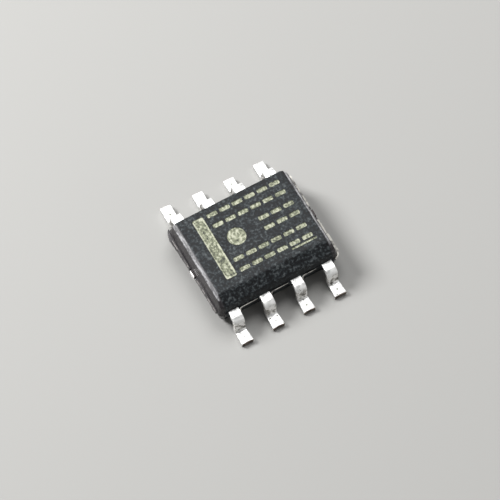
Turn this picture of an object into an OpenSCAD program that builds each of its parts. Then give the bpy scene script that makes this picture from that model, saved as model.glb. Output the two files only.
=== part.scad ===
// Small-outline integrated circuit: narrow body, eight gull-wing leads at 1.27 mm pitch.
//
// A drafted resin body with a bevel along its pin 1 side is moulded round a stamped
// leadframe. The frame gives eight leads and a down-set pad. The pad carries the silicon
// die, and a bond wire joins the die to the finger of each lead.
//
// X runs along the two rows of leads, Y across them, and Z up from the seating plane.
// The origin is the centre of the footprint on that plane. Leads 1 to 4 lie on the -Y
// side, from -X to +X, and leads 5 to 8 on the +Y side, from +X back to -X.
// All lengths are in millimetres.

/* [Resin body] */
// Length of the body at its parting line
body_l = 4.9; // [4.7:0.05:5.2]
// Width of the body at its parting line
body_w = 3.9; // [3.8:0.05:4.1]
// Height of the resin above the middle of the leads
upper_h = 0.71; // [0.6:0.01:0.9]
// Depth of the resin below the middle of the leads
lower_h = 0.69; // [0.6:0.01:0.9]
// Gap between the resin and the board
standoff = 0.12; // [0.05:0.01:0.25]
// Draft of the four sides, in degrees from upright
draft = 12; // [5:0.5:15]
// Radius of the upright corners where the sides end
corner_r = 0.08; // [0.08:0.01:0.2]
// Radius along the edges of the top and of the underside
edge_r = 0.06; // [0.02:0.01:0.08]

/* [Pin 1 bevel] */
// Reach of the bevel across the top, from the edge that it takes away
bevel_run = 0.4; // [0.3:0.01:0.55]
// Drop of the bevel below the top
bevel_drop = 0.3; // [0.2:0.01:0.4]
// Radius along the two long edges of the bevel
bevel_r = 0.2; // [0.05:0.01:0.25]

/* [Marks in the resin] */
// Width of the engraved bar that marks the pin 1 end
bar_w = 0.43; // [0.3:0.01:0.6]
// Length of the engraved bar
bar_l = 2.6; // [2:0.05:2.8]
// Distance from the end of the body to the middle of the bar
bar_inset = 1; // [0.8:0.05:1.3]
// Shift of the bar away from the bevel
bar_shift = 0.25; // [0.1:0.01:0.3]
// Depth of the engraved bar
bar_depth = 0.02; // [0.01:0.005:0.03]
// Diameter of the ejector mark in the underside
ejector_d = 1; // [0.6:0.1:1.4]
// Depth of the ejector mark
ejector_depth = 0.03; // [0.01:0.01:0.05]

/* [Parting line] */
// Reach of the resin ledge along the two ends, one lead thick
ledge_out = 0.05; // [0.02:0.01:0.1]
// Space between the ledge and the tie bar on each side
ledge_gap = 0.06; // [0.02:0.01:0.1]
// Reach of the resin web between the leads
web_out = 0.02; // [0.01:0.01:0.05]
// Radius of the resin left in the corner between web and lead
web_fillet = 0.13; // [0.05:0.01:0.15]

/* [Leads] */
// Distance between neighbouring leads
lead_pitch = 1.27; // [1.2:0.01:1.34]
// Width of each lead
lead_w = 0.41; // [0.31:0.01:0.51]
// Thickness of the leadframe
lead_t = 0.2; // [0.15:0.01:0.25]
// Distance across the leads, from tip to tip
lead_span = 6; // [5.9:0.05:6.2]
// Flat length of each foot, behind its tip
foot_flat = 0.46; // [0.35:0.01:0.55]
// Inside radius of the two bends in each lead
bend_r = 0.06; // [0.04:0.01:0.12]
// Lean of the legs, in degrees from upright
leg_tilt = 8; // [0:0.5:15]

/* [Fingers inside the resin] */
// Space between the fingers and the pad
finger_gap = 0.2; // [0.12:0.01:0.25]
// Width of the heads of the four middle fingers
head_w = 0.6; // [0.52:0.01:0.7]
// Length of the heads of the four middle fingers
head_l = 0.4; // [0.3:0.01:0.45]
// Straight length of a corner finger before it turns in
neck_l = 0.5; // [0.42:0.01:0.6]
// Width of a corner finger past its turn
limb_w = 0.4; // [0.3:0.01:0.45]
// Distance from the middle line to the tips of the corner fingers
limb_end = 0.5; // [0.35:0.01:0.6]
// Diameter of the hole that locks each finger in the resin
lock_d = 0.2; // [0.1:0.01:0.25]
// Distance from the edge of the resin to the middle of that hole
lock_inset = 0.25; // [0.2:0.01:0.28]

/* [Die pad] */
// Length of the pad
pad_l = 2.3; // [1.9:0.05:2.4]
// Width of the pad
pad_w = 1.7; // [1.5:0.05:1.8]
// Step of the pad below the leads
pad_drop = 0.2; // [0.1:0.01:0.3]
// Width of the tie bars that carry the pad
tie_w = 0.28; // [0.2:0.01:0.4]
// Length of the ramp in each tie bar
tie_ramp = 0.3; // [0.2:0.01:0.4]
// Reach of the sheared tie bars past the ends of the body
tie_out = 0.07; // [0.02:0.01:0.12]

/* [Die] */
// Length of the die
die_l = 1.3; // [1:0.05:1.5]
// Width of the die
die_w = 1; // [0.8:0.05:1.2]
// Thickness of the die
die_t = 0.28; // [0.2:0.01:0.32]
// Thickness of the adhesive under the die
attach_t = 0.03; // [0.01:0.005:0.05]
// Reach of the adhesive past the sides of the die
attach_rim = 0.05; // [0.01:0.01:0.1]

/* [Bond wires] */
// Diameter of the wire
wire_d = 0.03; // [0.02:0.005:0.04]
// Diameter of the ball at the die
ball_d = 0.08; // [0.06:0.01:0.1]
// Height of the ball
ball_h = 0.02; // [0.01:0.005:0.03]
// Upward pull of the loop at the ball
loop_rise = 0.35; // [0.25:0.01:0.4]
// Forward pull of the loop at the finger
loop_lead = 0.15; // [0.1:0.01:0.2]
// Length of the flat stitch on the finger
stitch_l = 0.06; // [0.04:0.01:0.1]
// Distance of each ball from the nearest edge of the die
ball_inset = 0.1; // [0.06:0.01:0.14]
// Distance of each stitch from the edge of its finger
stitch_inset = 0.1; // [0.08:0.01:0.14]
// Distance from the middle line to the balls of the middle leads, along X
middle_ball_x = 0.22; // [0.15:0.01:0.3]
// Distance from the middle line to the balls of the corner leads, along Y
corner_ball_y = 0.2; // [0.12:0.01:0.25]

/* [Hidden] */
LEADS = 8;
ROW = LEADS / 2;
$fn = 64;
// Length by which a cutting shape stands clear of what it cuts
clear = 0.05;

// Body: half sizes at the parting line, and what the draft takes off each side
half_l = body_l / 2;
half_w = body_w / 2;
upper_in = upper_h * tan(draft);
lower_in = lower_h * tan(draft);
parting_r = corner_r + max(upper_in, lower_in);

// Heights of the layers
parting_z = standoff + lower_h;
top_z = parting_z + upper_h;
lead_low = parting_z - lead_t / 2;
lead_top = parting_z + lead_t / 2;
pad_low = lead_low - pad_drop;
attach_low = pad_low + lead_t;
die_low = attach_low + attach_t;
die_top = die_low + die_t;

// Gull wing, measured along the middle of the metal
turn = 90 - leg_tilt;
wing_r = bend_r + lead_t / 2;
wing_drop = parting_z - lead_t / 2;
foot_start = lead_span / 2 - foot_flat;
shoulder_end = foot_start - 2 * wing_r * tan(turn / 2) - wing_drop * tan(leg_tilt);

// Fingers, in the quarter where X and Y are positive
middle_x = lead_pitch / 2;
corner_x = middle_x + lead_pitch * (ROW / 2 - 1);
finger_tip = pad_w / 2 + finger_gap;
limb_in = pad_l / 2 + finger_gap;
limb_out = limb_in + limb_w;
limb_turn = half_w - neck_l;

// Bond wires
WIRE_SIDES = 8;
WIRE_STEPS = 10;

// Leads 1 to 4 run along the -Y side, and 5 to 8 come back along the +Y side
function side_y(n) = n <= ROW ? -1 : 1;
function lead_x(n) = (n <= ROW ? n - (ROW + 1) / 2 : LEADS + 1 - n - (ROW + 1) / 2) * lead_pitch;
function is_corner(n) = abs(lead_x(n)) > lead_pitch;

function along(angle) = [cos(angle), sin(angle)];

// Places a shape drawn in the quarter of positive X and Y at lead n
module at_lead(n) {
    mirror([lead_x(n) < 0 ? 1 : 0, 0, 0])
        mirror([0, side_y(n) < 0 ? 1 : 0, 0])
            children();
}

// Sliver that rounds the convex corner at p, between the edges that leave it along
// the angles a and b, where the material lies between a and b
module corner_sliver(p, a, b, r) {
    half = (b - a) / 2;
    inward = along((a + b) / 2);
    centre = p + r / sin(half) * inward;
    reach = r / tan(half);
    difference() {
        polygon([p - clear * inward, p + reach * along(a), centre, p + reach * along(b)]);
        translate(centre) circle(r);
    }
}

// Half section of an upright corner round its own axis: drafted above and below the parting
// line, with a softened edge at the top and at the bottom
module corner_section() {
    top_x = parting_r - upper_in;
    low_x = parting_r - lower_in;
    difference() {
        polygon([[0, -lower_h], [low_x, -lower_h], [parting_r, 0], [top_x, upper_h], [0, upper_h]]);
        corner_sliver([top_x, upper_h], 180, 270 + draft, edge_r);
        corner_sliver([low_x, -lower_h], 90 - draft, 180, edge_r);
    }
}

// Drafted block, stretched over four round corners
module drafted_block() {
    hull() for (x = [-1, 1], y = [-1, 1])
        translate([x * (half_l - parting_r), y * (half_w - parting_r), 0])
            rotate_extrude($fn = 32) corner_section();
}

// What the bevel takes off the -Y side, with both of its long edges softened
module bevel_cut() {
    edge = [upper_in - half_w, upper_h];
    high = edge + [bevel_run, 0];
    low = edge - bevel_drop * [tan(draft), 1];
    slope = atan2(high[1] - low[1], high[0] - low[0]);
    rotate([90, 0, 90]) linear_extrude(body_l + 2 * clear, center = true) {
        polygon([high, high + [0, clear], low + [-clear, bevel_drop + clear], low - [clear, 0], low]);
        corner_sliver(high, 180 + slope, 360, bevel_r);
        corner_sliver(low, 270 - draft, 360 + slope, bevel_r);
    }
}

// Resin ledge along the +X end at the parting line, open round the tie bar
module end_ledge() {
    straight = half_w - parting_r;
    end = half_l + ledge_out;
    opening = tie_w + 2 * ledge_gap;
    translate([0, 0, lead_low]) linear_extrude(lead_t) difference() {
        polygon([
            [0, straight], [half_l, straight], [end, straight - ledge_out],
            [end, ledge_out - straight], [half_l, -straight], [0, -straight]
        ]);
        translate([half_l, -opening / 2]) square([ledge_out + clear, opening]);
    }
}

// Resin web along the +Y row at the parting line, with a fillet at each flank of the leads
module side_web() {
    end = corner_x + lead_w / 2 + web_fillet;
    edge = half_w + web_out;
    translate([0, 0, lead_low]) linear_extrude(lead_t) {
        translate([-end, half_w - parting_r]) square([2 * end, parting_r + web_out]);
        for (n = [1:ROW], s = [0, 1]) translate([lead_x(n), 0]) mirror([s, 0])
            corner_sliver([lead_w / 2, edge], 0, 90, web_fillet);
    }
}

module resin_outline() {
    difference() {
        union() {
            translate([0, 0, parting_z]) difference() {
                drafted_block();
                bevel_cut();
            }
            for (s = [0, 1]) {
                mirror([s, 0, 0]) end_ledge();
                mirror([0, s, 0]) side_web();
            }
        }
        translate([bar_inset - half_l - bar_w / 2, bar_shift - bar_l / 2, top_z - bar_depth])
            cube([bar_w, bar_l, bar_depth + clear]);
        translate([0, 0, standoff - clear]) cylinder(d = ejector_d, h = ejector_depth + clear);
    }
}

module molded_body() color([0.25, 0.26, 0.27]) difference() {
    resin_outline();
    die_pad();
    die_attach();
    die();
    for (n = [1:LEADS]) {
        lead(n);
        bond_wire(n);
    }
}

// Side view of a lead outside the resin: a strip mitred at the knee and at the heel, whose
// corners are then rounded outside and filled inside
module gull_wing() {
    tangent = wing_r * tan(turn / 2);
    knee = [shoulder_end + tangent, parting_z];
    heel = [foot_start - tangent, lead_t / 2];
    miter = lead_t / 2 / cos(turn / 2) * along(90 - turn / 2);
    tip = lead_span / 2;
    difference() {
        polygon([
            [half_w - clear, lead_top], knee + miter, heel + miter, [tip, lead_t],
            [tip, 0], heel - miter, knee - miter, [half_w - clear, lead_low]
        ]);
        corner_sliver(knee + miter, 180, 360 - turn, bend_r + lead_t);
        corner_sliver(heel - miter, 0, 180 - turn, bend_r + lead_t);
    }
    corner_sliver(knee - miter, 180, 360 - turn, bend_r);
    corner_sliver(heel + miter, 0, 180 - turn, bend_r);
}

// Plan of a finger inside the resin, up to the edge of the body
module finger_plan(corner) {
    x = corner ? corner_x : middle_x;
    neck_in = x - lead_w / 2;
    neck_out = x + lead_w / 2;
    difference() {
        if (corner)
            polygon([
                [neck_in, half_w], [neck_in, limb_turn],
                [limb_in, limb_turn - (neck_in - limb_in)], [limb_in, limb_end],
                [limb_out, limb_end], [limb_out, limb_turn - (neck_out - limb_out)],
                [neck_out, limb_turn], [neck_out, half_w]
            ]);
        else {
            translate([neck_in, finger_tip]) square([lead_w, half_w - finger_tip]);
            translate([x - head_w / 2, finger_tip]) square([head_w, head_l]);
        }
        translate([x, half_w - lock_inset]) circle(d = lock_d);
    }
}

// One lead: a locked finger inside the resin and a gull wing outside it
module lead(n) color([0.87, 0.87, 0.86]) at_lead(n) {
    translate([0, 0, lead_low]) linear_extrude(lead_t) finger_plan(is_corner(n));
    translate([is_corner(n) ? corner_x : middle_x, 0, 0])
        rotate([90, 0, 90]) linear_extrude(lead_w, center = true) gull_wing();
}

// Pad that carries the die, with a tie bar ramped up to the level of the leads at each end
module die_pad() color([0.72, 0.46, 0.28]) {
    ramp_end = pad_l / 2 + tie_ramp;
    tie_end = half_l + tie_out;
    translate([-pad_l / 2, -pad_w / 2, pad_low]) cube([pad_l, pad_w, lead_t]);
    for (s = [0, 1]) mirror([s, 0, 0]) rotate([90, 0, 0]) linear_extrude(tie_w, center = true)
        polygon([
            [0, pad_low], [pad_l / 2, pad_low], [ramp_end, lead_low], [tie_end, lead_low],
            [tie_end, lead_top], [ramp_end, lead_top], [pad_l / 2, attach_low], [0, attach_low]
        ]);
}

module die_attach() color([0.62, 0.62, 0.6])
    translate([-die_l / 2 - attach_rim, -die_w / 2 - attach_rim, attach_low])
        cube([die_l + 2 * attach_rim, die_w + 2 * attach_rim, attach_t]);

module die() color([0.36, 0.38, 0.46])
    translate([-die_l / 2, -die_w / 2, die_low]) cube([die_l, die_w, die_t]);

// Point at t along the loop: distance from the ball, and height
function loop_point(t, reach, low) = let (high = die_top + ball_h)
    pow(1 - t, 3) * [0, high]
    + 3 * pow(1 - t, 2) * t * [0, high + loop_rise]
    + 3 * (1 - t) * t * t * [reach - loop_lead, low]
    + t * t * t * [reach, low];

// Direction of the loop at t
function loop_angle(t, reach, low) = let (high = die_top + ball_h, d =
    pow(1 - t, 2) * [0, loop_rise]
    + 2 * (1 - t) * t * [reach - loop_lead, low - high - loop_rise]
    + t * t * [loop_lead, 0]) atan2(d[1], d[0]);

// Ring round the point p = [distance, height] of a wire that heads along the plan
// direction h, where the wire climbs at the given angle
function wire_ring(start, h, p, angle, r) = [
    for (k = [0:WIRE_SIDES - 1]) let (
        a = 360 * (k + 0.5) / WIRE_SIDES,
        out = p[0] - r * sin(a) * sin(angle),
        across = r * cos(a)
    ) [
        start[0] + out * h[0] - across * h[1],
        start[1] + out * h[1] + across * h[0],
        p[1] + r * sin(a) * cos(angle)
    ]
];

// Wire from a ball at start to a stitch at end: one swept skin round the loop
module wire(start, end) {
    reach = norm(end - start);
    h = (end - start) / reach;
    r = wire_d / 2;
    low = lead_top + r * cos(180 / WIRE_SIDES);
    rings = concat(
        [wire_ring(start, h, [0, die_top], 90, ball_d / 2)],
        [wire_ring(start, h, [0, die_top + ball_h], 90, ball_d / 2)],
        [for (i = [0:WIRE_STEPS]) let (t = i / WIRE_STEPS)
            wire_ring(start, h, loop_point(t, reach, low), loop_angle(t, reach, low), r)],
        [wire_ring(start, h, [reach + stitch_l, low], 0, r)]
    );
    last = (len(rings) - 1) * WIRE_SIDES;
    polyhedron(
        points = [for (ring = rings) for (p = ring) p],
        faces = concat(
            [[for (k = [0:WIRE_SIDES - 1]) k]],
            [for (i = [1:len(rings) - 1], k = [0:WIRE_SIDES - 1], half = [0, 1]) let (
                low_ring = (i - 1) * WIRE_SIDES,
                high_ring = i * WIRE_SIDES,
                next = (k + 1) % WIRE_SIDES
            ) half == 0
                ? [low_ring + k, high_ring + k, high_ring + next]
                : [low_ring + k, high_ring + next, low_ring + next]],
            [[for (k = [WIRE_SIDES - 1:-1:0]) last + k]]
        )
    );
}

// Bond wire of lead n, from the die to the finger
module bond_wire(n) color([0.86, 0.66, 0.24]) at_lead(n)
    if (is_corner(n))
        wire([die_l / 2 - ball_inset, corner_ball_y], [limb_in + stitch_inset, limb_end + stitch_inset]);
    else
        wire([middle_ball_x, die_w / 2 - ball_inset], [middle_x, finger_tip + stitch_inset]);

molded_body();
die_pad();
die_attach();
die();
for (n = [1:LEADS]) lead(n);
for (n = [1:LEADS]) bond_wire(n);
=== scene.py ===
"""Looks of a small-outline chip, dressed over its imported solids.

The resin body is a drafted block with soft edges and etched marks. Rough ledges, webs and a pale
flash run along its parting line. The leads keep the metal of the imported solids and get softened
edges, tips as the shears leave them and a worn tin finish.
Shapes are drawn in millimetres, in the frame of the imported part, and scaled to metres.
X runs along the rows of leads, and leads 1 to 4 are on the -Y side.
"""

import functools
import math
import random

import bmesh
import bpy
from mathutils import Matrix, Vector


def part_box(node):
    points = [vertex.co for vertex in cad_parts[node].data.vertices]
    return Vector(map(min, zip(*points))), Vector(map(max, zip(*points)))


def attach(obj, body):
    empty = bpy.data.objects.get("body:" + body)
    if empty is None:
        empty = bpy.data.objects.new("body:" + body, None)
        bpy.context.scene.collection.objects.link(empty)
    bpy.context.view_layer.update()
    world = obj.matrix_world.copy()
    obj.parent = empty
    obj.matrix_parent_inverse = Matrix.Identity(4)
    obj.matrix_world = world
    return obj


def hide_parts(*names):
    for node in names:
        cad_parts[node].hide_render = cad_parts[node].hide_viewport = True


MM = 0.001
SEED = 8

# Resin body: length and width at its parting line, draft, and bevel along the pin 1 side
BODY_L = 4.9
BODY_W = 3.9
DRAFT = math.tan(math.radians(12))
BEVEL_RUN = 0.4
BEVEL_DROP = 0.3

# Radii of the soft edges of the resin, and steps in each rounding
CORNER_R = 0.16
WORN_CORNER_R = 0.26
RIM_R = 0.07
END_RIM_R = 0.18
BEVEL_R = 0.2
EDGE_STEPS = 5

# Marks etched into the top
ETCH_DEPTH = 0.02
# Rectangles: middle x, middle y, width, height
BAR = (-1.45, 0.25, 0.43, 2.6)
UNDERLINE = (1.44, -1.13, 1.02, 0.08)
BAR_CORNER_R = 0.07
UNDERLINE_CORNER_R = 0.03
# Disc: middle x, middle y, diameter
ROUNDEL = (-0.53, 0.28, 0.7)
# Rows of dashes, each with one line of them along its top and one along its foot:
# middle x of the first dash, middle y and height of the row, number of dashes in a line
DASH_ROWS = [
    (-0.88, 1.24, 0.62, 6),
    (0.69, 0.275, 0.6, 3),
    (-0.88, -0.72, 0.61, 6),
]
DASH_L = 0.41
DASH_W = 0.17
DASH_PITCH = 0.51
DASH_CORNER_R = 0.05

# Mark of the ejector pin in the underside
EJECTOR_D = 1.0
EJECTOR_DEPTH = 0.03

# Parting line: corner radius of the resin there, and half its straight length across an end
PARTING_CORNER = 0.231
PARTING_STRAIGHT = BODY_W / 2 - PARTING_CORNER
# How far below the top of the leads the resin there stops
RESIN_SHORT = 0.006
# Distance between the points of an uneven edge
RAGGED_STEP = 0.07

# Ledges at the ends: reach past the resin, opening round the tie bar, roughness, soft edges
LEDGE_OUT = 0.05
LEDGE_OPENING = 0.4
LEDGE_ROUGH = 0.01
LEDGE_EDGE = 0.012
# The ledge behind at -X spreads: this much for each squared millimetre from the middle, and
# this much at its corner
LEDGE_SPREAD = 0.02
LEDGE_BULGE = 0.07

# Webs between the leads: reach past the resin, fillet against each lead, soft edges
WEB_OUT = 0.02
WEB_FILLET = 0.13
WEB_EDGE = 0.01

# Pale flash: thickness, and height above the leads
FLASH_T = 0.03
FLASH_PROUD = 0.004
# Flash along the ends: sign of the end, from y, to y, reach, roughness, width
END_FLASH = [
    (1, -PARTING_STRAIGHT, -0.95, 0.085, 0.012, 0.11),
    (1, -0.93, -0.3, 0.06, 0.014, 0.07),
    (1, 0.3, PARTING_STRAIGHT, 0.056, 0.012, 0.06),
    (-1, -PARTING_STRAIGHT, -0.3, 0.05, 0.01, 0.035),
    (-1, 0.3, 0.62, 0.05, 0.01, 0.03),
    (-1, 0.8, 1.5, 0.048, 0.012, 0.025),
]
# Flash round a corner and round the fillets of the webs: how far over the edge, and back from it
CORNER_FLASH_OUT = 0.045
CORNER_FLASH_BACK = 0.01
WEB_FLASH_OUT = 0.026
WEB_FLASH_BACK = 0.004
# Shortest and longest run along the web before the flash tapers out
WEB_FLASH_RUN = (0.4, 0.7)

# Leads: number, number in a row, pitch, width, thickness, soft edges
LEADS = 8
ROW = LEADS // 2
LEAD_PITCH = 1.27
LEAD_W = 0.41
LEAD_T = 0.2
LEAD_EDGE = 0.014
# Distance from the middle line past which a point belongs to the tip of a foot
FOOT_END = 2.95
# How much longer than the others the foot of a lead was cut
FOOT_EXTRA = {5: 0.05, 7: 0.05, 8: 0.14}
# Shear of the front row's feet: flare of each corner of the tip, and hollow between them
FOOT_FLARE = 0.03
FOOT_HOLLOW = 0.02
# Distance from the middle line to the pit in each foot, whose shade is painted
FOOT_PIT = 2.76

# Smooth finish of the resin at the ends: fades in from and to, along x from the middle
END_FACE = (2.15, 2.25)
# Rims of the ends, with a painted highlight and scuffs: fade in from and to, and fade out from and
# to, along x
NEAR_RIM = (-2.20, -2.26, -2.29, -2.35)
FAR_RIM = (2.20, 2.22, 2.27, 2.30)
# Heights over which the painted highlight and scuffs of the rims fade in
RIM_HEIGHT = (1.38, 1.42)

# Camera, fitted to the leads
CAMERA_TARGET = (-0.188, -0.092, 0.70)
CAMERA_AZIMUTH = -29.8
CAMERA_ELEVATION = 64.5
CAMERA_ROLL = 0.55
CAMERA_DISTANCE = 103
CAMERA_LENS = 206.9

# Soft lights: name, direction towards it, distance, diameter, watts
LIGHTS = [
    ("key", (-0.47, 0.57, 0.67), 130, 50, 0.25),
    ("fill", (0.45, -0.85, 0.28), 140, 80, 0.024),
    ("overhead", (0.21, 0.37, 0.90), 140, 100, 0.135),
]
WORLD_STRENGTH = 0.18
FLOOR_COLOUR = (0.36, 0.357, 0.346, 1)
# Half the side of the floor, in metres
FLOOR_REACH = 1.5

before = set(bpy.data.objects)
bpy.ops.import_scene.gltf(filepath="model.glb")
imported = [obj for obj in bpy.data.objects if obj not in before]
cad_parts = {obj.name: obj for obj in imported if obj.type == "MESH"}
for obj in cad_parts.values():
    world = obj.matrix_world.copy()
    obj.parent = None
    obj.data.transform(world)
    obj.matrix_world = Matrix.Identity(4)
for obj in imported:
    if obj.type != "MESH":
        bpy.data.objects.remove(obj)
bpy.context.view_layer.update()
rng = random.Random(SEED)


def box_mm(name):
    """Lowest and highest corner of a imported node, in millimetres."""
    low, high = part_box(name)
    return Vector(low) / MM, Vector(high) / MM


# Heights of the resin, of the leadframe where it leaves the resin, and of the parting line
BOTTOM, TOP = (corner.z for corner in box_mm("molded_body"))
FRAME_TOP = box_mm("lead_1")[1].z
FRAME_LOW = FRAME_TOP - LEAD_T
PARTING = (FRAME_TOP + FRAME_LOW) / 2


# ---------------------------------------------------------------- meshes


def to_metres(obj):
    """Applies the modifiers of an object drawn in millimetres and scales its mesh to metres."""
    shaped = obj.evaluated_get(bpy.context.evaluated_depsgraph_get())
    mesh = bpy.data.meshes.new_from_object(shaped)
    obj.modifiers.clear()
    obj.data = mesh
    mesh.transform(Matrix.Scale(MM, 4))


def new_object(name, bm, *materials):
    """Object in the scene from a bmesh, which is used up."""
    bmesh.ops.recalc_face_normals(bm, faces=bm.faces)
    mesh = bpy.data.meshes.new(name)
    bm.to_mesh(mesh)
    bm.free()
    for material in materials:
        mesh.materials.append(material)
    obj = bpy.data.objects.new(name, mesh)
    bpy.context.scene.collection.objects.link(obj)
    return obj


def shade(obj, sharp_degrees):
    """Smooth shading, with edges sharper than the given angle kept."""
    obj.data.shade_smooth()
    obj.data.set_sharp_from_angle(angle=math.radians(sharp_degrees))
    weighted = obj.modifiers.new("weighted_normals", "WEIGHTED_NORMAL")
    weighted.keep_sharp = True


def add_piece(name, bm, material, sharp_degrees=30):
    """Finished piece of the chip from a bmesh in millimetres."""
    obj = new_object(name, bm, material)
    to_metres(obj)
    shade(obj, sharp_degrees)
    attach(obj, "root")
    return obj


def extrude_plan(bm, outline, low, high):
    """Adds a prism over the plan outline between two heights."""
    floor = bm.faces.new([bm.verts.new((x, y, low)) for x, y in outline])
    raised = bmesh.ops.extrude_face_region(bm, geom=[floor])["geom"]
    verts = [v for v in raised if isinstance(v, bmesh.types.BMVert)]
    bmesh.ops.translate(bm, verts=verts, vec=(0, 0, high - low))


def arc(centre, radius, start, end, steps):
    """Points on an arc between two angles in degrees, both ends included."""
    points = []
    for i in range(steps + 1):
        angle = math.radians(start + (end - start) * i / steps)
        points.append((centre[0] + radius * math.cos(angle), centre[1] + radius * math.sin(angle)))
    return points


def disc(x, y, diameter, sides):
    """Plan outline of a disc about its middle."""
    return arc((x, y), diameter / 2, 0, 360 - 360 / sides, sides - 1)


def rounded_rectangle(x, y, width, height, radius):
    """Plan outline of a rectangle with round corners about its middle."""
    outline = []
    for quarter, (sx, sy) in enumerate([(1, 1), (-1, 1), (-1, -1), (1, -1)]):
        centre = (x + sx * (width / 2 - radius), y + sy * (height / 2 - radius))
        outline += arc(centre, radius, 90 * quarter, 90 * quarter + 90, 4)
    return outline


def soften(bm, width, sharper_than):
    """Rounds every edge sharper than an angle in degrees."""
    sharp = [e for e in bm.edges if e.calc_face_angle(0) > math.radians(sharper_than)]
    bmesh.ops.bevel(
        bm, geom=sharp, offset=width, segments=2, profile=0.5, affect="EDGES", clamp_overlap=True
    )


# ---------------------------------------------------------------- resin body


def resin_block():
    """Drafted block with the pin 1 bevel, and the width of the rounding of each of its edges."""
    bm = bmesh.new()
    ends = (-1, 1)

    def inset(height):
        """How far the draft draws a side in at a height."""
        return abs(height - PARTING) * DRAFT

    def corner(sx, sy, height):
        """Corner of the block at a height, by the signs of its x and y."""
        x, y = sx * (BODY_L / 2 - inset(height)), sy * (BODY_W / 2 - inset(height))
        return bm.verts.new((x, y, height))

    # Corners of the underside, the parting line, the back of the top, and both edges of the bevel
    base = {(sx, sy): corner(sx, sy, BOTTOM) for sx in ends for sy in ends}
    waist = {(sx, sy): corner(sx, sy, PARTING) for sx in ends for sy in ends}
    back = {sx: corner(sx, 1, TOP) for sx in ends}
    foot = {sx: corner(sx, -1, TOP - BEVEL_DROP) for sx in ends}
    brow_y = inset(TOP) - BODY_W / 2 + BEVEL_RUN
    brow = {sx: bm.verts.new((sx * (BODY_L / 2 - inset(TOP)), brow_y, TOP)) for sx in ends}

    bm.faces.new([base[-1, -1], base[1, -1], base[1, 1], base[-1, 1]])
    bm.faces.new([brow[-1], brow[1], back[1], back[-1]])
    bm.faces.new([foot[-1], foot[1], brow[1], brow[-1]])
    bm.faces.new([waist[-1, -1], waist[1, -1], foot[1], foot[-1]])
    bm.faces.new([waist[-1, 1], waist[1, 1], back[1], back[-1]])
    for sy in ends:
        bm.faces.new([base[-1, sy], base[1, sy], waist[1, sy], waist[-1, sy]])
    for sx in ends:
        bm.faces.new([base[sx, -1], base[sx, 1], waist[sx, 1], waist[sx, -1]])
        bm.faces.new([waist[sx, -1], waist[sx, 1], back[sx], brow[sx], foot[sx]])

    radius = {}
    for sx in ends:
        behind = WORN_CORNER_R if sx == 1 else CORNER_R
        radius[base[sx, -1], waist[sx, -1]] = CORNER_R
        radius[waist[sx, -1], foot[sx]] = CORNER_R
        radius[base[sx, 1], waist[sx, 1]] = behind
        radius[waist[sx, 1], back[sx]] = behind
        radius[foot[sx], brow[sx]] = RIM_R
        radius[brow[sx], back[sx]] = END_RIM_R
        radius[base[sx, -1], base[sx, 1]] = RIM_R
    for pair in ((back[-1], back[1]), (base[-1, -1], base[1, -1]), (base[-1, 1], base[1, 1])):
        radius[pair] = RIM_R
    radius[brow[-1], brow[1]] = BEVEL_R
    radius[foot[-1], foot[1]] = BEVEL_R

    bmesh.ops.recalc_face_normals(bm, faces=bm.faces)
    weight = bm.edges.layers.float.new("bevel_weight_edge")
    for pair, r in radius.items():
        edge = bm.edges.get(pair)
        edge[weight] = r * math.tan(edge.calc_face_angle() / 2)
    return bm


def etched_cutter():
    """Everything that is sunk into the resin: the marks on top and the ejector mark below."""
    marks = [
        rounded_rectangle(*BAR, BAR_CORNER_R),
        disc(*ROUNDEL, sides=24),
        rounded_rectangle(*UNDERLINE, UNDERLINE_CORNER_R),
    ]
    for first, middle, height, count in DASH_ROWS:
        for i in range(count):
            x = first + i * DASH_PITCH
            for side in (-1, 1):
                y = middle + side * (height - DASH_W) / 2
                marks.append(rounded_rectangle(x, y, DASH_L, DASH_W, DASH_CORNER_R))
    bm = bmesh.new()
    for outline in marks:
        extrude_plan(bm, outline, TOP - ETCH_DEPTH, TOP + ETCH_DEPTH)
    ejector = disc(0, 0, EJECTOR_D, sides=60)
    extrude_plan(bm, ejector, BOTTOM - EJECTOR_DEPTH, BOTTOM + EJECTOR_DEPTH)
    return bm


def add_resin_body(resin, etched_resin):
    """The resin body with its marks. Those on top take the etched finish, the one below doesn't."""
    body = new_object("resin_body", resin_block(), resin, etched_resin)
    rounding = body.modifiers.new("rounding", "BEVEL")
    rounding.limit_method = "WEIGHT"
    rounding.offset_type = "OFFSET"
    rounding.width = 1
    rounding.segments = EDGE_STEPS
    rounding.use_clamp_overlap = False
    cutter = new_object("cutter", etched_cutter(), etched_resin)
    cut = body.modifiers.new("marks", "BOOLEAN")
    cut.operation = "DIFFERENCE"
    cut.solver = "EXACT"
    cut.object = cutter
    cut.material_mode = "TRANSFER"
    to_metres(body)
    bpy.data.objects.remove(cutter)
    for face in body.data.polygons:
        if face.center.z < PARTING * MM:
            face.material_index = 0
    shade(body, sharp_degrees=20)
    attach(body, "root")
    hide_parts("molded_body")


# ---------------------------------------------------------------- parting line


def front_lead_x(n):
    """Place along x of the middle of front lead n, from 1 to 4."""
    return (n - (ROW + 1) / 2) * LEAD_PITCH


def ragged_edge(start, end, reach, roughness):
    """Points (distance out, place along) of an uneven edge that runs from start to end."""
    count = max(2, round(abs(end - start) / RAGGED_STEP))
    return [
        (reach + rng.uniform(-roughness, roughness), start + (end - start) * i / count)
        for i in range(count + 1)
    ]


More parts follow.
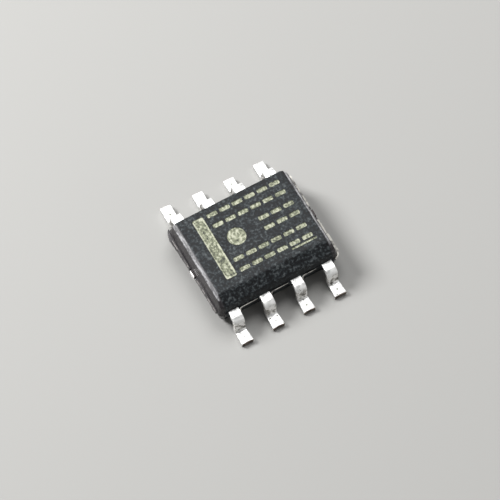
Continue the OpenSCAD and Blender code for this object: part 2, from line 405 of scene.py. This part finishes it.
def ledge_outline(spreads):
    """Half of a ledge, from the tie bar to the corner of the resin, where it may spread."""
    end = BODY_L / 2
    root = end - LEDGE_OUT
    reach = end + LEDGE_OUT - LEDGE_ROUGH
    edge = ragged_edge(LEDGE_OPENING / 2, PARTING_STRAIGHT - LEDGE_OUT, reach, LEDGE_ROUGH)
    corner = [(end, PARTING_STRAIGHT)]
    if spreads:
        edge = [(x + LEDGE_SPREAD * y * y, y) for x, y in edge]
        centre = (end - PARTING_CORNER, PARTING_STRAIGHT)
        corner = arc(centre, PARTING_CORNER + LEDGE_BULGE, 0, 60, 6)
    return [(root, LEDGE_OPENING / 2), *edge, *corner, (root, PARTING_STRAIGHT)]


def add_end_ledges(resin):
    """Resin ledge along the parting line of both ends, open round the tie bar."""
    bm = bmesh.new()
    for sx in (-1, 1):
        for sy in (-1, 1):
            outline = ledge_outline(spreads=(sx, sy) == (-1, 1))
            outline = [(sx * x, sy * y) for x, y in outline]
            extrude_plan(bm, outline, FRAME_LOW, FRAME_TOP - RESIN_SHORT)
    bmesh.ops.recalc_face_normals(bm, faces=bm.faces)
    soften(bm, LEDGE_EDGE, sharper_than=60)
    add_piece("parting_ledges", bm, resin)


def add_side_webs(resin):
    """Resin web between the leads at the parting line, with a fillet at each flank."""
    bm = bmesh.new()
    tip = BODY_W / 2 + WEB_OUT + WEB_FILLET
    reach = LEAD_W / 2 + WEB_FILLET
    end = front_lead_x(ROW) + reach
    outline = [(-end, PARTING_STRAIGHT)]
    for n in range(1, ROW + 1):
        x = front_lead_x(n)
        outline += arc((x - reach, tip), WEB_FILLET, 270, 360, 6)
        outline += arc((x + reach, tip), WEB_FILLET, 180, 270, 6)
    outline.append((end, PARTING_STRAIGHT))
    for sy in (-1, 1):
        extrude_plan(bm, [(x, sy * y) for x, y in outline], FRAME_LOW, FRAME_TOP - RESIN_SHORT)
    bmesh.ops.recalc_face_normals(bm, faces=bm.faces)
    soften(bm, WEB_EDGE, sharper_than=60)
    add_piece("parting_webs", bm, resin)


def end_flash(sx, start, end, reach, roughness, width):
    """Outline of a pale skin along the rim of one end's ledge."""
    edge = ragged_edge(start, end, BODY_L / 2 + reach, roughness)
    inner = BODY_L / 2 + reach - width
    return [(sx * x, y) for x, y in [(inner, start), *edge, (inner, end)]]


def corner_flash():
    """Outline of a pale line round the corner between the +X ledge and lead 4."""
    centre = (BODY_L / 2 - PARTING_CORNER, PARTING_CORNER - BODY_W / 2)
    outer = arc(centre, PARTING_CORNER + CORNER_FLASH_OUT, -80, 0, 8)
    inner = arc(centre, PARTING_CORNER - CORNER_FLASH_BACK, 0, -80, 8)
    return outer + inner


def web_flash(n):
    """Outline of a pale line round the fillet beside front lead n and on along the web."""
    edge_y = -(BODY_W / 2 + WEB_OUT)
    fillet_end = front_lead_x(n) + LEAD_W / 2 + WEB_FILLET
    centre = (fillet_end, edge_y - WEB_FILLET)
    outer = arc(centre, WEB_FILLET - WEB_FLASH_OUT, 180, 92, 8)
    inner = arc(centre, WEB_FILLET + WEB_FLASH_BACK, 92, 180, 8)
    return [*outer, (fillet_end + rng.uniform(*WEB_FLASH_RUN), edge_y), *inner]


def add_flash(material):
    """Thin pale flash at the mould's parting line, thickest along the +X end."""
    outlines = [end_flash(*strip) for strip in END_FLASH]
    outlines.append(corner_flash())
    outlines += [web_flash(n) for n in range(1, ROW)]
    bm = bmesh.new()
    for outline in outlines:
        extrude_plan(bm, outline, FRAME_TOP - FLASH_T, FRAME_TOP + FLASH_PROUD)
    add_piece("parting_flash", bm, material, sharp_degrees=40)


# ---------------------------------------------------------------- leads


def shear_tip(bm, tip):
    """Flares the corners of a foot's tip and hollows it between them, as the shears leave it."""
    middle = sum(vert.co.x for vert in tip) / len(tip)
    for vert in tip:
        vert.co.x += math.copysign(FOOT_FLARE, vert.co.x - middle)

    def runs_across(edge):
        """Whether an edge lies on the tip and runs from flank to flank."""
        first, second = edge.verts
        return {first, second} <= set(tip) and abs(first.co.x - second.co.x) > LEAD_W / 2

    across = [edge for edge in bm.edges if runs_across(edge)]
    inner = bmesh.ops.subdivide_edges(bm, edges=across, cuts=1)["geom_inner"]
    for vert in inner:
        if isinstance(vert, bmesh.types.BMVert):
            vert.co.y -= math.copysign(FOOT_HOLLOW, vert.co.y)


def add_formed_lead(n, tin):
    """Lead n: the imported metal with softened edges, and the tip of its foot as it was cut."""
    bm = bmesh.new()
    bm.from_mesh(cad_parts[f"lead_{n}"].data)
    bm.transform(Matrix.Scale(1 / MM, 4))
    bmesh.ops.remove_doubles(bm, verts=bm.verts, dist=1e-4)
    bmesh.ops.dissolve_limit(bm, angle_limit=math.radians(1), verts=bm.verts, edges=bm.edges)
    tip = [vert for vert in bm.verts if abs(vert.co.y) > FOOT_END]
    for vert in tip:
        vert.co.y += math.copysign(FOOT_EXTRA.get(n, 0), vert.co.y)
    if n <= ROW:
        shear_tip(bm, tip)
    soften(bm, LEAD_EDGE, sharper_than=40)
    obj = add_piece(f"formed_lead_{n}", bm, tin)
    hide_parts(f"lead_{n}")


# ---------------------------------------------------------------- shader nodes


def new_material(name):
    """Material, its node tree and its shader."""
    material = bpy.data.materials.new(name)
    material.use_nodes = True
    tree = material.node_tree
    return material, tree, tree.nodes["Principled BSDF"]


def node(tree, kind, inputs=None, **settings):
    """New node; inputs are sockets to link or plain values."""
    made = tree.nodes.new(kind)
    for key, value in settings.items():
        setattr(made, key, value)
    for key, value in (inputs or {}).items():
        if isinstance(value, bpy.types.NodeSocket):
            tree.links.new(value, made.inputs[key])
        else:
            made.inputs[key].default_value = value
    return made


def calc(tree, operation, first, second=0.0):
    """Result of one step of arithmetic."""
    return node(tree, "ShaderNodeMath", {0: first, 1: second}, operation=operation).outputs[0]


def product(tree, *factors):
    """All the values multiplied."""
    return functools.reduce(functools.partial(calc, tree, "MULTIPLY"), factors)


def total(tree, first, second):
    """Both values added."""
    return calc(tree, "ADD", first, second)


def minus(tree, first, second):
    """First value less the second."""
    return calc(tree, "SUBTRACT", first, second)


def rise(tree, value, start, end, low=0.0, high=1.0):
    """Value that climbs smoothly from low to high between start and end."""
    inputs = {"Value": value, "From Min": start, "From Max": end, "To Min": low, "To Max": high}
    return node(tree, "ShaderNodeMapRange", inputs, interpolation_type="SMOOTHSTEP").outputs[0]


def band(tree, value, start, full, fade, end):
    """Value that climbs from 0 to 1 between start and full, and falls again from fade to end."""
    return product(tree, rise(tree, value, start, full), rise(tree, value, end, fade))


def ramp(tree, factor, *stops):
    """Colour ramp through (place, red, green, blue) stops."""
    made = node(tree, "ShaderNodeValToRGB", {"Fac": factor})
    elements = made.color_ramp.elements
    while len(elements) < len(stops):
        elements.new(0.5)
    for element, (place, *colour) in zip(elements, stops):
        element.position = place
        element.color = (*colour, 1)
    return made.outputs["Color"]


def blend(tree, factor, first, second):
    """Colour that goes from the first to the second with the factor."""
    made = node(tree, "ShaderNodeMix", {0: factor}, data_type="RGBA")
    for index, colour in ((6, first), (7, second)):
        if isinstance(colour, bpy.types.NodeSocket):
            tree.links.new(colour, made.inputs[index])
        else:
            made.inputs[index].default_value = (*colour, 1)
    return made.outputs[2]


def place_mm(tree, stretch=(1, 1, 1)):
    """Place on the part in millimetres, stretched along its axes."""
    place = node(tree, "ShaderNodeTexCoord").outputs["Object"]
    scale = [s / MM for s in stretch]
    return node(tree, "ShaderNodeVectorMath", {0: place, 1: scale}, operation="MULTIPLY").outputs[0]


def noise(tree, scale, detail=2.0, roughness=0.5, stretch=(1, 1, 1)):
    """Noise with about the given number of lumps in each millimetre."""
    place = place_mm(tree, stretch)
    inputs = {"Vector": place, "Scale": scale, "Detail": detail, "Roughness": roughness}
    return node(tree, "ShaderNodeTexNoise", inputs).outputs["Fac"]


def axis(tree, index, absolute=False):
    """One coordinate of the place on the part, in millimetres."""
    split = node(tree, "ShaderNodeSeparateXYZ", {0: place_mm(tree)}).outputs[index]
    return calc(tree, "ABSOLUTE", split) if absolute else split


def facing(tree, index):
    """Whether the surface looks along an axis, either way: 1 where it does, 0 where it doesn't."""
    normal = node(tree, "ShaderNodeNewGeometry").outputs["Normal"]
    split = node(tree, "ShaderNodeSeparateXYZ", {0: normal}).outputs[index]
    return rise(tree, calc(tree, "ABSOLUTE", split), 0.8, 0.95)


def bump(tree, shader, height, depth):
    """Relief of the given depth in millimetres."""
    inputs = {"Height": height, "Distance": depth * MM, "Strength": 1.0}
    tree.links.new(node(tree, "ShaderNodeBump", inputs).outputs[0], shader.inputs["Normal"])


# ---------------------------------------------------------------- materials


def rim_highlight_and_scuffs(tree, speckle, streaks):
    """Painted highlight, with scuffs, on the rims between the top and the two ends, from 0 to 1."""
    wander = rise(tree, speckle, 0.3, 0.7, -0.015, 0.015)
    near = band(tree, total(tree, axis(tree, 0), wander), *NEAR_RIM)
    far = band(tree, axis(tree, 0), *FAR_RIM)
    on_rim = product(tree, total(tree, near, far), rise(tree, axis(tree, 2), *RIM_HEIGHT))
    highlight_and_wear = total(tree, product(tree, streaks, 0.6), product(tree, speckle, 0.4))
    return product(tree, on_rim, rise(tree, highlight_and_wear, 0.42, 0.58, 0.3, 1.0))


def resin_material():
    """Black moulding compound: matte and speckled, smoother on the two ends, with a painted
    highlight and scuffs along the rims.
    """
    material, tree, shader = new_material("black_resin")
    speckle = noise(tree, 10, detail=5, roughness=0.65)
    streaks = noise(tree, 5, detail=3, stretch=(3, 0.4, 1))
    end_face = rise(tree, axis(tree, 0, absolute=True), *END_FACE)

    patches = product(tree, minus(tree, noise(tree, 2, detail=2), 0.5), 0.2)
    grain = total(tree, speckle, patches)
    rough_colour = ramp(
        tree,
        grain,
        (0.40, 0.001, 0.0013, 0.002),
        (0.49, 0.007, 0.009, 0.011),
        (0.57, 0.028, 0.034, 0.037),
        (0.66, 0.078, 0.087, 0.090),
    )
    smooth_colour = ramp(tree, grain, (0.35, 0.016, 0.0145, 0.0155), (0.65, 0.050, 0.046, 0.049))
    colour = blend(tree, end_face, rough_colour, smooth_colour)
    # The rims take a pale colour: a painted highlight, with scuffs.
    colour = blend(tree, rim_highlight_and_scuffs(tree, speckle, streaks), colour, (0.40, 0.40, 0.41))
    tree.links.new(colour, shader.inputs["Base Color"])

    matte = rise(tree, speckle, 0.35, 0.65, 0.5, 0.75)
    glossy = rise(tree, streaks, 0.35, 0.65, 0.34, 0.2)
    polish = product(tree, end_face, minus(tree, matte, glossy))
    tree.links.new(minus(tree, matte, polish), shader.inputs["Roughness"])
    shader.inputs["Specular IOR Level"].default_value = 0.28
    relief = product(tree, speckle, rise(tree, end_face, 0, 1, 1.0, 0.25))
    bump(tree, shader, relief, 0.012)
    return material


def rim_lift(tree):
    """Lift of the tone: full on the inner rim of the pin 1 bar and slight on the other marks."""
    x, y, width, height = BAR
    across = calc(tree, "ABSOLUTE", minus(tree, axis(tree, 0), x))
    along = calc(tree, "ABSOLUTE", minus(tree, axis(tree, 1), y))
    beside = rise(tree, across, width / 2 - 0.06, width / 2 - 0.04, 0, 0.10)
    beyond = rise(tree, along, height / 2 - 0.07, height / 2 - 0.05, 0, 0.10)
    outside = rise(tree, across, width / 2 + 0.03, width / 2 + 0.05, 0, 0.06)
    return minus(tree, calc(tree, "MAXIMUM", beside, beyond), outside)


def etched_material():
    """Floor of the laser marks: khaki, crossed by fine scan lines and pitted."""
    material, tree, shader = new_material("etched_resin")
    lines = noise(tree, 7, detail=3, roughness=0.65, stretch=(1.7, 0.8, 1))
    pits = noise(tree, 12, detail=2)
    mixed = total(tree, product(tree, lines, 0.6), product(tree, pits, 0.4))
    tone = total(tree, mixed, rim_lift(tree))
    colour = ramp(
        tree,
        tone,
        (0.38, 0.033, 0.036, 0.03),
        (0.46, 0.113, 0.12, 0.083),
        (0.53, 0.207, 0.22, 0.147),
        (0.62, 0.44, 0.447, 0.347),
    )
    tree.links.new(colour, shader.inputs["Base Color"])
    shader.inputs["Roughness"].default_value = 0.8
    bump(tree, shader, tone, 0.012)
    return material


def flash_material():
    """Thin resin skin that scatters light and looks pale; painted lighter along the +X end, which
    lies in shade, and painted darker at the -X end, where the key light falls.
    """
    material, tree, shader = new_material("pale_flash")
    lumps = noise(tree, 5, detail=3)
    # Painted light and shade: darker at -X where the key light falls, paler elsewhere to lift the
    # shaded +X flash.
    darkened_where_lit = ramp(tree, lumps, (0.40, 0.04, 0.036, 0.036), (0.62, 0.24, 0.22, 0.21))
    bright = ramp(tree, lumps, (0.40, 0.14, 0.13, 0.12), (0.58, 0.66, 0.64, 0.58))
    colour = blend(tree, rise(tree, axis(tree, 0), -2.3, -1.8), darkened_where_lit, bright)
    tree.links.new(colour, shader.inputs["Base Color"])
    shader.inputs["Roughness"].default_value = 0.5
    bump(tree, shader, lumps, 0.01)
    return material


def painted_pit_shade(tree, height, out):
    """Painted shade of one small pit in the middle of each foot, darker in some feet than in
    others.
    """
    in_pitch = calc(tree, "FRACT", calc(tree, "DIVIDE", axis(tree, 0), LEAD_PITCH))
    beside = product(tree, minus(tree, in_pitch, 0.5), LEAD_PITCH)
    beyond = minus(tree, out, FOOT_PIT)
    squares = total(tree, product(tree, beside, beside), product(tree, beyond, beyond))
    spot = rise(tree, calc(tree, "SQRT", squares), 0.06, 0.03)
    on_foot = rise(tree, height, 0.28, 0.22)
    depth = rise(tree, noise(tree, 1.5), 0.42, 0.58, 0.55, 1.0)
    return product(tree, spot, on_foot, depth)


def tin_material():
    """Matte tin: bright on the shoulders and feet, scuffed on the legs with painted shade on the
    back row's flanks, and bare at the cut tips.
    """
    material, tree, shader = new_material("worn_tin")
    height = axis(tree, 2)
    out = axis(tree, 1, absolute=True)
    streaks = noise(tree, 6, detail=4, roughness=0.6)
    mottling = noise(tree, 7, detail=3)
    wander = product(tree, minus(tree, noise(tree, 4), 0.5), 0.3)
    level = total(tree, height, wander)
    above_foot = rise(tree, level, 0.22, 0.30)

    leg = product(tree, above_foot, rise(tree, level, 0.76, 0.62))
    clean = ramp(tree, mottling, (0.3, 0.80, 0.80, 0.78), (0.7, 0.93, 0.93, 0.92))
    scuffed = ramp(
        tree,
        streaks,
        (0.38, 0.14, 0.135, 0.12),
        (0.46, 0.40, 0.39, 0.36),
        (0.53, 0.80, 0.78, 0.74),
        (0.58, 0.99, 0.98, 0.96),
    )
    colour = blend(tree, leg, clean, scuffed)
    # Painted shade: the flanks of the back row's legs, facing along x, darkened in streaks.
    back_row = rise(tree, axis(tree, 1), 1, 2)
    painted_flank_shade = product(tree, facing(tree, 0), leg, back_row, rise(tree, streaks, 0.60, 0.50))
    colour = blend(tree, painted_flank_shade, colour, (0.13, 0.12, 0.11))
    specks_and_pit_shade = rise(tree, noise(tree, 9, detail=1), 0.70, 0.74)
    # Random dark specks, and painted shade in the pit of each foot.
    specks_and_pit_shade = calc(tree, "MAXIMUM", painted_pit_shade(tree, height, out), specks_and_pit_shade)
    colour = blend(tree, specks_and_pit_shade, colour, (0.10, 0.11, 0.085))
    torn = ramp(tree, streaks, (0.4, 0.09, 0.07, 0.06), (0.6, 0.42, 0.34, 0.28))
    cut_tip = product(tree, facing(tree, 1), rise(tree, out, 2.93, 2.94))
    tree.links.new(blend(tree, cut_tip, colour, torn), shader.inputs["Base Color"])

    dull = product(tree, above_foot, rise(tree, level, 0.93, 0.85))
    tree.links.new(rise(tree, dull, 0, 1, 0.85, 0.4), shader.inputs["Metallic"])
    tree.links.new(rise(tree, mottling, 0.3, 0.7, 0.34, 0.5), shader.inputs["Roughness"])
    bump(tree, shader, streaks, 0.014)
    return material


def copper_material():
    """Leadframe copper, nearly black on the stubs where the tie bars leave the resin, painted dark
    as shade over the +X sheared end too, and bright at the sheared end at -X.
    """
    material, tree, shader = new_material("leadframe_copper")
    patches = noise(tree, 3, detail=3)
    copper = ramp(tree, patches, (0.3, 0.46, 0.20, 0.11), (0.7, 0.78, 0.42, 0.26))
    # The stubs go nearly black, and this paints shade over the +X sheared end; the sheared end at
    # -X stays bright.
    dark_stubs_and_shade = rise(tree, axis(tree, 0, absolute=True), 2.40, 2.42)
    sheared = rise(tree, axis(tree, 0), -2.485, -2.495)
    colour = blend(tree, dark_stubs_and_shade, copper, (0.05, 0.045, 0.045))
    colour = blend(tree, sheared, colour, (0.95, 0.93, 0.92))
    tree.links.new(colour, shader.inputs["Base Color"])
    shader.inputs["Metallic"].default_value = 1.0
    shader.inputs["Roughness"].default_value = 0.5
    bump(tree, shader, patches, 0.004)
    return material


def plain_material(name, dark, light, scale, metallic, roughness):
    """Finish that varies a little between two colours."""
    material, tree, shader = new_material(name)
    grain = noise(tree, scale, detail=3)
    tree.links.new(ramp(tree, grain, (0.3, *dark), (0.7, *light)), shader.inputs["Base Color"])
    shader.inputs["Metallic"].default_value = metallic
    shader.inputs["Roughness"].default_value = roughness
    return material


def finish_inner_nodes():
    """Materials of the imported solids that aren't replaced: the pad, adhesive, die and wires."""
    adhesive = plain_material(
        "silver_adhesive", (0.42, 0.42, 0.4), (0.62, 0.62, 0.6), 12, metallic=0.6, roughness=0.6
    )
    silicon = plain_material(
        "silicon", (0.07, 0.08, 0.11), (0.16, 0.17, 0.24), 5, metallic=0.8, roughness=0.2
    )
    gold = plain_material(
        "gold_wire", (0.80, 0.52, 0.16), (1.0, 0.76, 0.33), 20, metallic=1.0, roughness=0.25
    )
    finishes = {"die_pad": copper_material(), "die_attach": adhesive, "die": silicon}
    finishes.update({f"bond_wire_{n}": gold for n in range(1, LEADS + 1)})
    for name, material in finishes.items():
        for material_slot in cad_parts[name].material_slots:
            material_slot.material = material


# ---------------------------------------------------------------- stage


def direction(azimuth, elevation):
    """Unit vector towards a viewer at the given azimuth and elevation in degrees."""
    a, e = math.radians(azimuth), math.radians(elevation)
    return Vector((math.sin(a) * math.cos(e), -math.cos(a) * math.cos(e), math.sin(e)))


def add_camera():
    """Camera that looks at the chip from the fitted direction, rolled a little."""
    camera = bpy.data.cameras.new("camera")
    camera.lens = CAMERA_LENS
    camera.clip_start = 0.005
    camera.clip_end = 10
    obj = bpy.data.objects.new("camera", camera)
    bpy.context.scene.collection.objects.link(obj)
    back = direction(CAMERA_AZIMUTH, CAMERA_ELEVATION)
    right = Vector((0, 0, 1)).cross(back).normalized()
    turn = Matrix.Rotation(math.radians(CAMERA_ROLL), 3, back)
    axes = Matrix((turn @ right, turn @ back.cross(right), back)).transposed()
    place = (Vector(CAMERA_TARGET) + back * CAMERA_DISTANCE) * MM
    obj.matrix_world = Matrix.Translation(place) @ axes.to_4x4()
    bpy.context.scene.camera = obj


def add_light(name, towards, distance, diameter, watts):
    """Round soft light at a distance from the chip, in millimetres, that faces it."""
    light = bpy.data.lights.new(name, "AREA")
    light.shape = "DISK"
    light.size = diameter * MM
    light.energy = watts
    obj = bpy.data.objects.new(name, light)
    bpy.context.scene.collection.objects.link(obj)
    towards = Vector(towards).normalized()
    obj.location = towards * distance * MM
    obj.rotation_mode = "QUATERNION"
    obj.rotation_quaternion = towards.to_track_quat("Z", "Y")


def add_floor():
    """Plain pale floor under the feet."""
    bm = bmesh.new()
    bmesh.ops.create_grid(bm, x_segments=1, y_segments=1, size=FLOOR_REACH)
    material, _, shader = new_material("pale_floor")
    shader.inputs["Base Color"].default_value = FLOOR_COLOUR
    shader.inputs["Roughness"].default_value = 0.9
    shader.inputs["Specular IOR Level"].default_value = 0.1
    new_object("floor", bm, material)


def add_world():
    """Even white light from all round."""
    world = bpy.data.worlds.new("studio")
    world.use_nodes = True
    background = world.node_tree.nodes["Background"]
    background.inputs["Color"].default_value = (1, 1, 1, 1)
    background.inputs["Strength"].default_value = WORLD_STRENGTH
    bpy.context.scene.world = world


# ---------------------------------------------------------------- build

black_resin = resin_material()
add_resin_body(black_resin, etched_material())
add_end_ledges(black_resin)
add_side_webs(black_resin)
add_flash(flash_material())
worn_tin = tin_material()
for n in range(1, LEADS + 1):
    add_formed_lead(n, worn_tin)
finish_inner_nodes()

add_floor()
add_world()
for light in LIGHTS:
    add_light(*light)
add_camera()
bpy.context.scene.view_settings.view_transform = "Standard"
